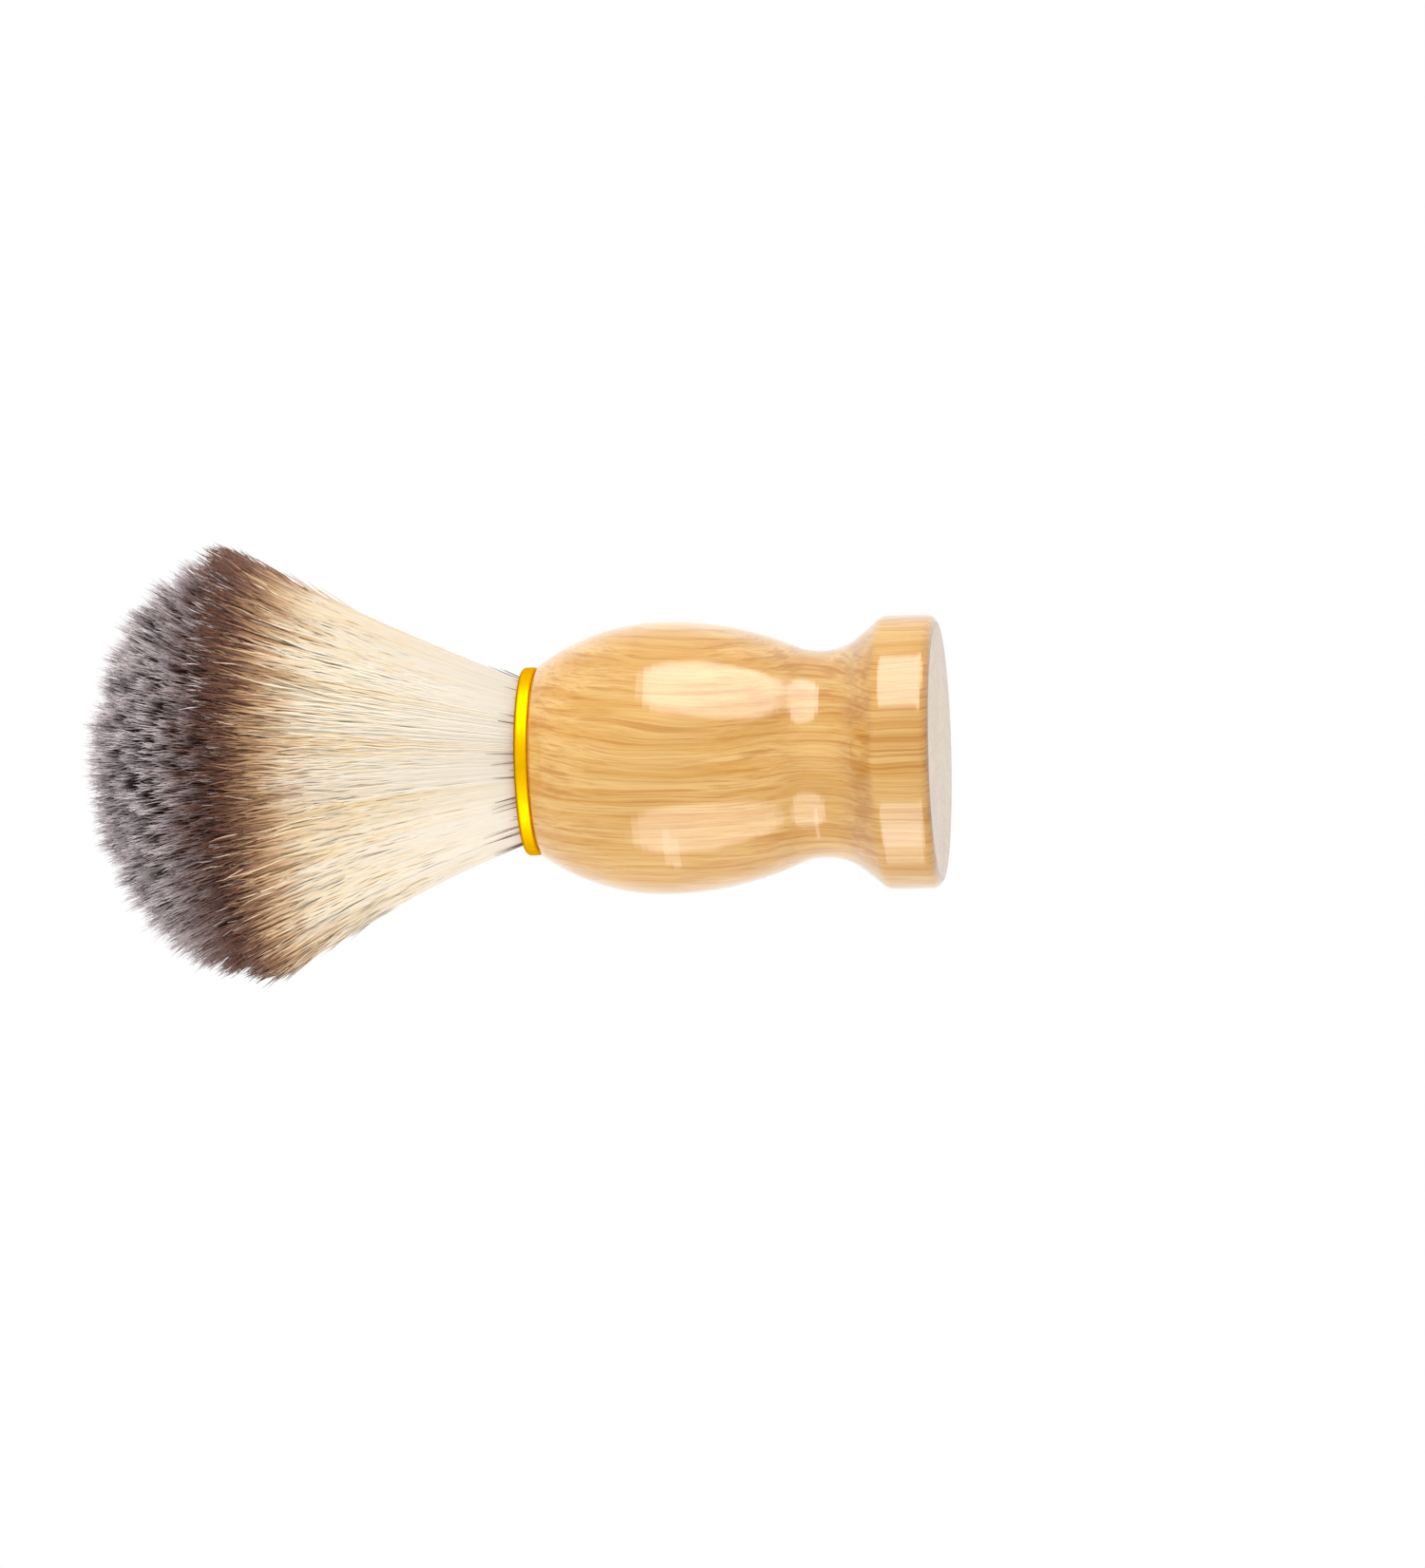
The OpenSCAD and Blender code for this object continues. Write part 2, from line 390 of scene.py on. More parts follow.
def build_handling_marks():
    """Node group: faint smears from handling, as a small change of roughness."""
    inputs = {"Vector": None, "Size": 9 * MM, "Base": 0.3, "Amount": 0.1}
    tree, given, result = new_group("Handling marks", inputs, "Roughness")
    frequency = tree.maths("DIVIDE", 1.0, given["Size"])
    broad = tree.noise(given["Vector"], frequency, 3.0, 0.6)
    fine = tree.noise(given["Vector"], tree.times(frequency, 7.0), 4.0, 0.65)
    mask = tree.span(tree.times(broad, fine), 0.16, 0.4)
    roughness = tree.maths("MULTIPLY_ADD", mask, given["Amount"], given["Base"])
    tree.links.new(roughness, result)


def build_turning_lines():
    """Node group: fine rings round the axis, as a lathe tool leaves them."""
    tree, given, result = new_group("Turning lines", {"Vector": None, "Pitch": 0.3 * MM}, "Height")
    turns = tree.maths("DIVIDE", tree.parts(given["Vector"])[2], given["Pitch"])
    uneven = tree.noise(given["Vector"], 260.0, 2.0)
    turns = tree.maths("ADD", turns, uneven)
    wave = tree.maths("SINE", tree.times(turns, 2 * math.pi))
    tree.links.new(tree.maths("MULTIPLY_ADD", wave, 0.5, 0.5), result)


def build_fibre_bands():
    """Node group: a fibre's colour, from the height, how far it is frosted and two random numbers."""
    knot = bpy.context.scene.brush_knot
    inputs = {"Height": 0.0, "Frost": 0.0, "Lock": 0.5, "Fibre": 0.5}
    tree, given, result = new_group("Fibre bands", inputs, "Color", "NodeSocketColor")
    height = given["Height"]
    warm = tree.times(tree.span(given["Lock"], 0.45, 1.0), 0.75)
    warm = tree.maths("MULTIPLY_ADD", tree.span(given["Fibre"], 0.7, 1.0), 0.45, warm)
    warm = tree.times(warm, tree.span(height, 2 * MM, 15 * MM, 0.25, 1.0))
    warm = tree.maths("ADD", warm, tree.span(height, 12 * MM, 30 * MM, 0.0, 0.35))
    colour = tree.mix(tree.span(warm, 0.0, 1.0), knot.cream, knot.honey)
    for heights, tint in ((TO_TAN, knot.tan), (TO_BROWN, knot.brown), (TO_UMBER, knot.umber)):
        colour = tree.mix(tree.span(height, *heights), colour, tint)
    colour = tree.mix(given["Frost"], colour, knot.lilac)
    light = tree.maths("MULTIPLY_ADD", given["Fibre"], 0.12, 0.93)
    tree.links.new(tree.lighten(colour, light), result)


# ---------------- materials


def wood_material():
    """Clear-lacquered straight-grained hardwood, darker where its slopes are cut across the grain, with a
    painted sheen where it is seen edge-on.
    """
    look = bpy.context.scene.brush_handle
    material, tree, shader = new_material(
        "Lacquered wood", IOR=1.5, Specular_IOR_Level=0.15, Coat_Roughness=0.08, Coat_IOR=1.55
    )
    place = tree.place()
    up_facing = tree.up_facing()
    slope = tree.maths("ABSOLUTE", up_facing)
    grain = tree.stretch(place, (1 / MM, 1 / MM, 1 / MM), rotation=GRAIN_TURN)

    # growth rings round a pith outside the blank: the layers lie almost flat through the handle
    parts = tree.parts(grain)
    side = tree.maths("ADD", parts[0], PITH_SIDE)
    depth = tree.maths("ADD", parts[1], PITH_DEPTH)
    squares = tree.maths("ADD", tree.maths("POWER", side, 2.0), tree.maths("POWER", depth, 2.0))
    warp = tree.noise(tree.stretch(grain, WARP), 1.0, 2.0)
    distance = tree.maths("MULTIPLY_ADD", warp, RING_WARP, tree.maths("SQRT", squares))
    layers = tree.add("ShaderNodeCombineXYZ", {0: distance, 1: parts[1], 2: parts[2]}).outputs[0]
    rings = tree.maths("FRACT", tree.maths("DIVIDE", distance, look.ring_spacing / MM))
    late_wood = tree.times(tree.span(rings, 0.3, 0.9), tree.span(rings, 1.0, 0.93))
    patchy = tree.span(tree.noise(tree.stretch(layers, PATCHES), 1.0, 2.0), 0.35, 0.65)
    figure = tree.mix(tree.times(late_wood, patchy), look.pale_wood, look.warm_wood)

    # the fine figure, from the broadest to the pores
    broad = tree.noise(tree.stretch(layers, BROAD_FIGURE), 1.0, 3.0, 0.6)
    colour = tree.mix(tree.span(broad, 0.46, 0.6, 0.0, 0.7), figure, look.warm_wood)
    lines = tree.noise(tree.stretch(layers, LINES), 1.0, 3.0, 0.65)
    line_mask = tree.span(lines, 0.52, 0.64)
    streaks = tree.noise(tree.stretch(layers, STREAKS), 1.0, 3.0, 0.65)
    streak_mask = tree.span(streaks, 0.46, 0.66)
    pores = tree.noise(tree.stretch(layers, PORES), 1.0, 1.0)
    pore_mask = tree.times(tree.span(pores, 0.66, 0.74), line_mask)

    # end grain on the slopes near the foot
    height = tree.parts(place)[2]
    near_foot = tree.span(height, 13 * MM, 10.5 * MM, 0.25, 1.0)
    near_foot = tree.times(near_foot, tree.span(height, 5 * MM, 8 * MM))
    strokes = tree.noise(tree.stretch(layers, STROKES), 1.0, 3.0, 0.6)
    cut_across = tree.times(tree.span(slope, 0.3, 0.62), tree.span(strokes, 0.42, 0.6, 0.1, 1.0))
    cut_across = tree.times(cut_across, near_foot)
    for mask, share, tint in (
        (line_mask, 0.68, look.line_wood),
        (streak_mask, 0.48, look.line_wood),
        (pore_mask, 0.4, look.end_wood),
        (cut_across, 0.45, look.end_wood),
    ):
        colour = tree.mix(tree.times(mask, share), colour, tint)
    cloud = tree.noise(tree.stretch(grain, CLOUDS), 1.0, 2.0)
    colour = tree.lighten(colour, tree.span(cloud, 0.3, 0.7, 0.94, 1.05))

    # the foot's face is dull and grey, and a paler colour is painted where the wood is seen edge-on, as a
    # painted sheen of light reflected by the lacquer
    foot_face = tree.span(up_facing, -0.95, -0.995)
    shade = tree.mix(foot_face, (1, 1, 1), (0.55, 0.56, 0.58))
    colour = tree.mix(1.0, colour, shade, "MULTIPLY")
    facing = tree.add("ShaderNodeLayerWeight", {"Blend": 0.5}).outputs["Facing"]
    turned_side = tree.maths("SUBTRACT", 1.0, foot_face)
    sheen_share = tree.times(tree.span(facing, 0.55, 0.95, 0.0, 0.42), turned_side)
    colour = tree.mix(sheen_share, colour, look.painted_edge_sheen)
    tree.feed(shader, Base_Color=colour, Coat_Weight=tree.maths("MULTIPLY_ADD", foot_face, -0.32, 1.0))

    add_marks(tree, shader, place, 11 * MM, 0.3, 0.16)
    relief = tree.maths("SUBTRACT", tree.times(lines, 0.5), pore_mask)
    relief = tree.maths("MULTIPLY_ADD", turning_height(tree, place, 1.1 * MM), 0.1, relief)
    waves = tree.noise(place, 1 / (7 * MM), 2.0)
    tree.feed(shader, Normal=tree.bump(relief, 0.3, 0.05 * MM), Coat_Normal=tree.bump(waves, 0.4, 0.18 * MM))
    return material


def gold_material():
    """Gold-coloured metal with fine turning lines, and a darker gold painted on the faces turned up towards
    the knot, as a painted reflection of the dark knot.
    """
    look = bpy.context.scene.brush_collar
    material, tree, shader = new_material("Gold collar", Metallic=1.0, Specular_Tint=tone(240, 190, 70))
    place = tree.place()
    cloud = tree.noise(place, 340.0, 3.0)
    darker = tuple(0.86 * x for x in look.gold)
    colour = tree.mix(tree.span(cloud, 0.35, 0.7), look.gold, darker)
    # painted reflection of the dark knot: darker gold on the faces turned up towards it
    colour = tree.mix(tree.span(tree.up_facing(), 0.1, 0.8), colour, look.painted_knot_reflection)
    add_marks(tree, shader, place, 4 * MM, look.roughness, 0.1)
    turned = turning_height(tree, place, 0.16 * MM)
    tree.feed(shader, Base_Color=colour, Normal=tree.bump(turned, 0.25, 0.01 * MM))
    return material


def cast_material(name, pale, dark, size, roughness):
    """A cast or cured filler, cloudy and slightly uneven."""
    material, tree, shader = new_material(name, IOR=1.5)
    place = tree.place()
    cloud = tree.noise(place, 1 / size, 4.0, 0.6)
    colour = tree.mix(tree.span(cloud, 0.35, 0.65), pale, dark)
    add_marks(tree, shader, place, size, roughness, 0.2)
    tree.feed(shader, Base_Color=colour, Normal=tree.bump(cloud, 0.3, 0.1 * MM))
    return material


def thread_material():
    """Waxed binding thread, with its twist as fine slanted ridges."""
    material, tree, shader = new_material("Binding thread", Roughness=0.75)
    slanted = tree.stretch(tree.place(), (1, 1, 1), rotation=(0.5, 0.4, 0))
    twist = tree.add("ShaderNodeTexWave", {"Vector": slanted, "Scale": 900.0, "Distortion": 1.5}).outputs[1]
    colour = tree.mix(twist, tone(188, 180, 160), tone(234, 229, 214))
    tree.feed(shader, Base_Color=colour, Normal=tree.bump(twist, 0.5, 0.05 * MM))
    return material


def fibre_map(tree):
    """What the fibre's map holds: its length, its lock's and its own random number, and its column."""
    across, along, _ = tree.parts(tree.add("ShaderNodeUVMap", uv_map=FIBRE_MAP).outputs[0])
    chances = []
    for columns in (COLUMNS / COLUMNS_PER_LOCK, COLUMNS):
        number = tree.maths("ADD", tree.maths("FLOOR", tree.times(across, columns)), 0.37)
        noise = tree.add("ShaderNodeTexWhiteNoise", {"W": number}, noise_dimensions="1D")
        chances.append(noise.outputs[0])
    return along, *chances, across


def side_fibre_material():
    """Long fibres: cream, then tan, then the dark band. The map's length is the height above the collar."""
    material, tree, shader = new_material("Side fibre", Roughness=0.45, IOR=1.5, Specular_IOR_Level=0.3)
    along, lock, fibre, _ = fibre_map(tree)
    height = tree.times(along, BAND_LENGTH)
    frost = tree.span(height, *TO_SIDE_FROST, 0.0, 0.9)
    tree.feed(shader, Base_Color=band_colour(tree, height, frost, lock, fibre))
    return material


def dome_fibre_material():
    """Dark fibres with frosted tips. The map's columns run from the top of the dome to its rim."""
    material, tree, shader = new_material("Dome fibre", Roughness=0.5, IOR=1.5, Specular_IOR_Level=0.25)
    along, lock, fibre, across = fibre_map(tree)
    from_tip = tree.times(tree.maths("SUBTRACT", 1.0, along), DOME_FIBRE)
    tip_height = tree.span(across, 0.0, 1.0, LOFT, BLOOM_HEIGHT)
    height = tree.maths("MULTIPLY_ADD", from_tip, -0.92, tip_height)
    reach = tree.maths("MULTIPLY_ADD", fibre, 1.5 * MM, 1.7 * MM)
    frost = tree.span(tree.maths("DIVIDE", from_tip, reach), 1.0, 0.2)
    band = tree.span(tip_height, *TO_DOME_FROST, 0.08, 1.0)
    frost = tree.times(frost, tree.times(band, tree.span(lock, 0.0, 0.7, 0.4, 1.0)))
    tree.feed(shader, Base_Color=band_colour(tree, height, frost, lock, fibre))
    return material


def core_material():
    """The dense middle of the bundle, seen only between the fibres, with painted shade that darkens it
    towards its top.
    """
    material, tree, shader = new_material("Fibre core", Roughness=0.9, Specular_IOR_Level=0.1)
    place = tree.place()
    height = tree.maths("SUBTRACT", tree.parts(place)[2], COLLAR_TOP)
    strands = tree.noise(tree.stretch(place, (2600, 2600, 90)), 1.0, 3.0, 0.6)
    # painted shade: the core's colour is darkened towards its top, where the bundle is deep in shadow
    stops = [
        (0.0, (1.0, 0.98, 0.96)),
        (0.36, (0.95, 0.9, 0.84)),
        (0.46, (0.4, 0.32, 0.28)),
        (0.55, (0.2, 0.16, 0.15)),
    ]
    shade = tree.ramp(tree.span(height, 0.0, BAND_LENGTH), stops)
    colour = tree.mix(1.0, band_colour(tree, height, 0.0, 0.6, strands), shade, "MULTIPLY")
    tree.feed(shader, Base_Color=colour, Normal=tree.bump(strands, 0.8, 0.4 * MM))
    return material


# ---------------- fibre shapes


def place_object(name, data):
    """A new object in the scene."""
    made = bpy.data.objects.new(name, data)
    bpy.context.scene.collection.objects.link(made)
    return made


def smooth_step(value, low, high):
    """0 below low, 1 above high, and a smooth rise between them."""
    share = np.clip((value - low) / (high - low), 0, 1)
    return share * share * (3 - 2 * share)


def flare(height):
    """The bundle's radius at a height above the collar."""
    return MOUTH_RADIUS + FLARE_A * height + FLARE_B * height**2


def lean(height):
    """How far the bundle has moved to its lower side (-X) at a height above the collar."""
    return -BUNDLE_LEAN * smooth_step(height, 10 * MM, BLOOM_HEIGHT)


def dome_height(share, angle):
    """The height above the collar at which a fibre at this share of the radius meets the dome."""
    low = np.full_like(share, BLOOM_HEIGHT * 0.8)
    high = np.full_like(share, LOFT)
    for _ in range(40):
        middle = (low + high) / 2
        radius = share * flare(middle)
        x = radius * np.cos(angle) + lean(middle) - DOME_SHIFT
        y = radius * np.sin(angle)
        up = np.maximum(middle - BLOOM_HEIGHT, 0) / DOME_HEIGHT
        inside = (x**2 + y**2) / BLOOM_RADIUS**2 + up**2 < 1
        low = np.where(inside, middle, low)
        high = np.where(inside, high, middle)
    return low


def fibre_paths(fibres, steps, start, end):
    """Centre lines of fibres between two shares of their length, and the heights of their points.

    fibres is a dict of arrays, one value per fibre. A fibre keeps its share of the radius as the
    bundle flares, waves from side to side, and leans to the middle of its tuft near its tip.
    """
    share = start[:, None] + (end - start)[:, None] * np.linspace(0, 1, steps)[None, :]
    fibre = {key: value[:, None] for key, value in fibres.items()}
    height = fibre["bottom"] + (fibre["top"] - fibre["bottom"]) * share
    from_tip = fibre["top"] - height
    gather = np.clip(1 - from_tip / fibre["gather_length"], 0, 1) ** 1.5 * fibre["gather"]
    radius_share = fibre["radius"] * (1 - gather) + fibre["tuft_radius"] * gather
    packed = fibre["packing"] * (1 - np.clip(height / BLOOM_HEIGHT, 0, 1))
    radius_share = 1 - (1 - radius_share) * (1 - packed)
    radius_share = radius_share * (1 - fibre["root_inset"] * from_tip / DOME_FIBRE)
    turn = fibre["angle"] + fibre["tuft_turn"] * gather
    growth = np.clip(height / (22 * MM), 0, 1) + smooth_step(height, 28 * MM, 38 * MM)
    wave = 2 * np.pi * height / fibre["wave_length"] + fibre["phase"]
    swing = fibre["crimp"] * growth
    loose = np.clip(1 - from_tip / (9 * MM), 0, 1) ** 2
    around = swing * np.sin(wave) + fibre["bend_side"] * loose
    radius = radius_share * flare(height) + 0.6 * swing * np.sin(1.37 * wave + 1.3)
    radius = radius + fibre["bend_out"] * loose
    cos, sin = np.cos(turn), np.sin(turn)
    x = radius * cos - around * sin + lean(height)
    y = radius * sin + around * cos
    return np.stack([x, y, COLLAR_TOP + height], axis=2), height


def tube_faces(count, steps):
    """Vertex numbers of the sides and the two closed ends of tubes: (sides, bottoms, tops)."""
    first = np.arange(count)[:, None, None] * steps * RIBS
    step = np.arange(steps - 1)[None, :, None] * RIBS
    rib = np.arange(RIBS)[None, None, :]
    after = (rib + 1) % RIBS
    low = first + step
    corners = [low + rib, low + after, low + RIBS + after, low + RIBS + rib]
    sides = np.stack(corners, axis=3).reshape(-1, 4)
    bottoms = (first[:, 0, :] + np.array([2, 1, 0])[None, :]).reshape(-1, 3)
    tops = (first[:, 0, :] + (steps - 1) * RIBS + np.array([0, 1, 2])[None, :]).reshape(-1, 3)
    return sides, bottoms, tops


def tube_map(columns, along):
    """The fibre map for the same faces: across it the fibre's column, up it the length."""
    left = (columns + 0.12) / COLUMNS
    width = 0.76 / COLUMNS
    u_low = left[:, None, None] + width * np.arange(RIBS)[None, None, :] / RIBS + 0 * along[:, :-1, None]
    u_high = u_low + width / RIBS
    v_low = along[:, :-1, None] + 0 * u_low
    v_high = along[:, 1:, None] + 0 * u_low
    pairs = [(u_low, v_low), (u_high, v_low), (u_high, v_high), (u_low, v_high)]
    sides = np.stack([np.stack(pair, -1) for pair in pairs], axis=3).reshape(-1, 2)
    corner_u = left[:, None] + width * np.array([0.0, 0.5, 1.0])[None, :]
    lift = 0.002 * np.array([0.0, 1.0, 0.0])[None, :]
    bottoms = np.stack([corner_u, along[:, :1] + lift], -1).reshape(-1, 2)
    tops = np.stack([corner_u, along[:, -1:] - 0.002 + lift], -1).reshape(-1, 2)
    return np.concatenate([sides, bottoms, tops])


def tube_mesh(name, paths, widths, columns, along, evenness, material):
    """Thin closed tubes along the paths as one object, with the fibre map.

    evenness turns the tubes' normals towards the bundle's own surface, so that it is lit as one mass.
    """
    count, steps, _ = paths.shape
    tangent = np.gradient(paths, axis=1)
    tangent /= np.linalg.norm(tangent, axis=2, keepdims=True)
    angle = np.arctan2(paths[:, :, 1], paths[:, :, 0])
    across = np.stack([-np.sin(angle), np.cos(angle), np.zeros_like(angle)], axis=2)
    normal = np.cross(tangent, across)
    normal /= np.linalg.norm(normal, axis=2, keepdims=True)
    across = np.cross(normal, tangent)
    ribs = 2 * np.pi * np.arange(RIBS) / RIBS
    ring = (
        np.cos(ribs)[None, None, :, None] * across[:, :, None, :]
        + np.sin(ribs)[None, None, :, None] * normal[:, :, None, :]
    )
    points = (paths[:, :, None, :] + ring * (widths / 2)[:, :, None, None]).reshape(-1, 3)
    facing = ring * (1 - evenness) - normal[:, :, None, :] * evenness
    facing = (facing / np.linalg.norm(facing, axis=3, keepdims=True)).reshape(-1, 3)
    sides, bottoms, tops = tube_faces(count, steps)
    corners = np.concatenate([sides.ravel(), bottoms.ravel(), tops.ravel()])
    sizes = np.repeat([4, 3], [len(sides), len(bottoms) + len(tops)])

    mesh = bpy.data.meshes.new(name)
    mesh.vertices.add(len(points))
    mesh.vertices.foreach_set("co", points.astype(np.float32).ravel())
    mesh.loops.add(len(corners))
    mesh.loops.foreach_set("vertex_index", corners.astype(np.int32))
    mesh.polygons.add(len(sizes))
    mesh.polygons.foreach_set("loop_start", (np.cumsum(sizes) - sizes).astype(np.int32))
    mesh.polygons.foreach_set("use_smooth", np.ones(len(sizes), bool))
    mesh.update(calc_edges=True)
    layer = mesh.uv_layers.new(name=FIBRE_MAP)
    layer.data.foreach_set("uv", tube_map(columns, along).astype(np.float32).ravel())
    mesh.validate()
    mesh.normals_split_custom_set_from_vertices(facing.tolist())
    mesh.materials.append(material)
    return place_object(name, mesh)


def taper(heights, top, full, waist):
    """Width of a fibre along its length: thin where it is packed in the collar, pointed at its tip."""
    spread = waist + (full - waist) * np.clip(heights / BLOOM_HEIGHT, 0, 1) ** 0.8
    to_tip = np.clip((top[:, None] - heights) / (4 * MM), 0, 1) ** 0.6
    return np.maximum(spread * to_tip, THINNEST)


def new_fibres(random, count, knot, **same):
    """The values that every kind of fibre has, one per fibre. same holds those that don't vary."""
    fibres = {
        "wave_length": knot.crimp_length * random.uniform(0.75, 1.3, count),
        "crimp": knot.crimp * random.uniform(0.4, 1.4, count),
        "bend_out": random.normal(-0.15 * MM, 0.3 * MM, count),
        "bend_side": random.normal(0, 0.4 * MM, count),
    }
    for key, value in {"packing": 0, "root_inset": 0, "shift": 0, "frost": 0, **same}.items():
        fibres[key] = np.full(count, float(value))
    return fibres


def side_fibres(knot):
    """The fibres that make the flaring side of the knot, in locks round the bundle."""
    random = np.random.default_rng(SIDE_SEED)
    locks = knot.locks
    count = locks * knot.lock_fibres
    fibres = new_fibres(
        random, count, knot, gather_length=15 * MM, packing=0.65, bottom=FIBRE_BOTTOM
    )
    lock = np.repeat(np.arange(locks), knot.lock_fibres)
    lock_angle = lock * GOLDEN_ANGLE
    lock_share = (1 - 0.05 * random.random(locks) ** 1.4)[lock]
    radius = np.clip(lock_share - 0.022 * random.random(count), 0.8, 1.0)
    angle = lock_angle + 0.05 * random.normal(0, 1, count)
    fibres["gather"] = random.uniform(0.15, 0.65, locks)[lock]
    fibres["phase"] = random.uniform(0, 2 * np.pi, locks)[lock] + random.normal(0, 0.6, count)

    # loose fibres stand out from the side, and are shorter
    loose = random.random(count) < 0.15
    short = np.where(loose, 11 * MM * random.random(count) ** 1.5, 0)
    fibres["bend_out"] = np.where(loose, random.uniform(0, 1.4 * MM, count), fibres["bend_out"])
    lock_reach = random.normal(-0.9 * MM, 0.6 * MM, locks)[lock]
    top = dome_height(radius, angle) + lock_reach - short + random.normal(-0.3 * MM, 0.6 * MM, count)

    # shift moves the colour bands down a fibre, and frost moves its tip on towards the pale band
    lock_shift = random.normal(0, 1.0 * MM, locks)[lock]
    shift = lock_shift + random.normal(0, 1.1 * MM, count) + 0.12 * short
    likely_frost = np.where(loose, 0.03, np.interp(radius, [0.94, 0.995], [0.75, 0.04]))
    frosted = random.random(count) < likely_frost
    frost = np.where(frosted, random.uniform(4 * MM, 10 * MM, count), 0)
    pale = random.random(count) < 0.06
    shift = shift - np.where(pale, random.uniform(3 * MM, 8 * MM, count), 0)
    fibres.update(tuft_radius=lock_share, tuft_turn=lock_angle - angle)
    fibres.update(radius=radius, angle=angle, top=top, lock=lock, shift=shift, frost=frost)
    return fibres


def stray_ends(knot):
    """Short dark fibre ends that stand at the collar."""
    random = np.random.default_rng(STRAY_SEED)
    count = knot.strays
    fibres = new_fibres(
        random, count, knot, gather=1, gather_length=6 * MM, bottom=FIBRE_BOTTOM, shift=36 * MM
    )
    fibres["radius"] = random.uniform(1.0, 1.03, count)
    fibres["angle"] = np.arange(count) * GOLDEN_ANGLE
    fibres["tuft_radius"] = fibres["radius"]
    fibres["tuft_turn"] = random.normal(0, 0.02, count)
    fibres["phase"] = random.uniform(0, 2 * np.pi, count)
    fibres["top"] = random.uniform(1.5 * MM, 5 * MM, count)
    fibres["lock"] = np.arange(count)
    return fibres


def dome_fibres(knot):
    """The tufts whose tips make the dome, counted from the top of the dome to its rim."""
    random = np.random.default_rng(DOME_SEED)
    tufts = knot.tufts
    count = tufts * knot.tuft_fibres
    fibres = new_fibres(random, count, knot, gather_length=5 * MM, root_inset=0.12)
    polar = np.linspace(0, np.pi / 2, 400)
    slant = np.hypot(BLOOM_RADIUS * np.cos(polar), DOME_HEIGHT * np.sin(polar))
    element = BLOOM_RADIUS * np.sin(polar) * slant
    area = np.concatenate([[0], np.cumsum((element[1:] + element[:-1]) / 2)])
    place = (np.arange(tufts) + 0.5 + random.uniform(-0.4, 0.4, tufts)) / tufts
    tuft_polar = np.interp(place * area[-1], area, polar)
    spiral = np.arange(tufts) * GOLDEN_ANGLE + random.normal(0, 0.012, tufts)
    tip_height = BLOOM_HEIGHT + DOME_HEIGHT * np.cos(tuft_polar)
    tip_x = BLOOM_RADIUS * np.sin(tuft_polar) * np.cos(spiral) + DOME_SHIFT - lean(tip_height)
    tip_y = BLOOM_RADIUS * np.sin(tuft_polar) * np.sin(spiral)
    tuft_angle = np.arctan2(tip_y, tip_x)
    tuft_share = np.minimum(np.hypot(tip_x, tip_y) / flare(tip_height), 1.0)

    tuft = np.repeat(np.arange(tufts), knot.tuft_fibres)
    away = 0.68 * MM * np.sqrt(random.random(count))
    direction = random.uniform(0, 2 * np.pi, count)
    tuft_flare = flare(tip_height[tuft])
    tuft_radius = np.maximum(tuft_share[tuft] * tuft_flare, 0.5 * MM)
    fibres["radius"] = np.clip((tuft_radius + away * np.cos(direction)) / tuft_flare, 0, 1)
    fibres["tuft_turn"] = -away * np.sin(direction) / tuft_radius
    fibres["angle"] = tuft_angle[tuft] - fibres["tuft_turn"]
    fibres["tuft_radius"] = tuft_share[tuft]
    fibres["gather"] = random.uniform(0.55, 1.0, tufts)[tuft]
    fibres["phase"] = random.uniform(0, 2 * np.pi, tufts)[tuft] + random.normal(0, 0.7, count)
    tuft_reach = np.clip(random.normal(-1.8 * MM, 1.05 * MM, tufts), -4.5 * MM, -0.4 * MM)
    fibres["top"] = (tip_height + tuft_reach)[tuft] + random.normal(0, 0.3 * MM, count)
    fibres["bottom"] = fibres["top"] - DOME_FIBRE
    fibres["lock"] = tuft
    return fibres


def pick(fibres, chosen):
    """The chosen fibres' values."""
    return {key: value[chosen] for key, value in fibres.items()}


def side_object(name, fibres, steps, start, end, knot, material):
    """One object of side fibres between two shares of their length, mapped by height above the collar."""
    paths, heights = fibre_paths(fibres, steps, start, end)
    widths = taper(heights, fibres["top"], knot.side_width, 0.6 * knot.side_width)
    serial = np.arange(len(start))
    columns = (fibres["lock"] * COLUMNS_PER_LOCK + serial % COLUMNS_PER_LOCK) % COLUMNS
    near_tip = 1 - smooth_step(fibres["top"][:, None] - heights, 0, 5 * MM)
    place = heights + fibres["shift"][:, None] + fibres["frost"][:, None] * near_tip
    along = np.clip(place / BAND_LENGTH, *MAP_ENDS)
    return tube_mesh(name, paths, widths, columns, along, SIDE_EVENNESS, material)


def dome_object(name, fibres, steps, tufts, knot, material):
    """One object of dome fibres, mapped by place on the dome and share of the fibre's length."""
    nothing = np.zeros(len(fibres["top"]))
    paths, heights = fibre_paths(fibres, steps, nothing, nothing + 1)
    widths = taper(heights, fibres["top"], knot.tip_width, knot.tip_width)
    columns = fibres["lock"] * COLUMNS // tufts
    along = np.clip(np.linspace(0, 1, steps), *MAP_ENDS)[None, :] + 0 * heights
    return tube_mesh(name, paths, widths, columns, along, DOME_EVENNESS, material)


def core_outline(start, end):
    """Radius and height of the dense middle, from one share of its height to another."""
    share = np.linspace(start, end, CORE_STEPS)
    height = CORE_BOTTOM * (1 - share) + CORE_TOP * share
    inner = CORE_SHARE - CORE_NARROWING * np.clip(height / CORE_TOP, 0, 1) ** 2
    radius = np.where(height < 0, 0.86 * MOUTH_RADIUS, inner * flare(np.maximum(height, 0)))
    return radius, height


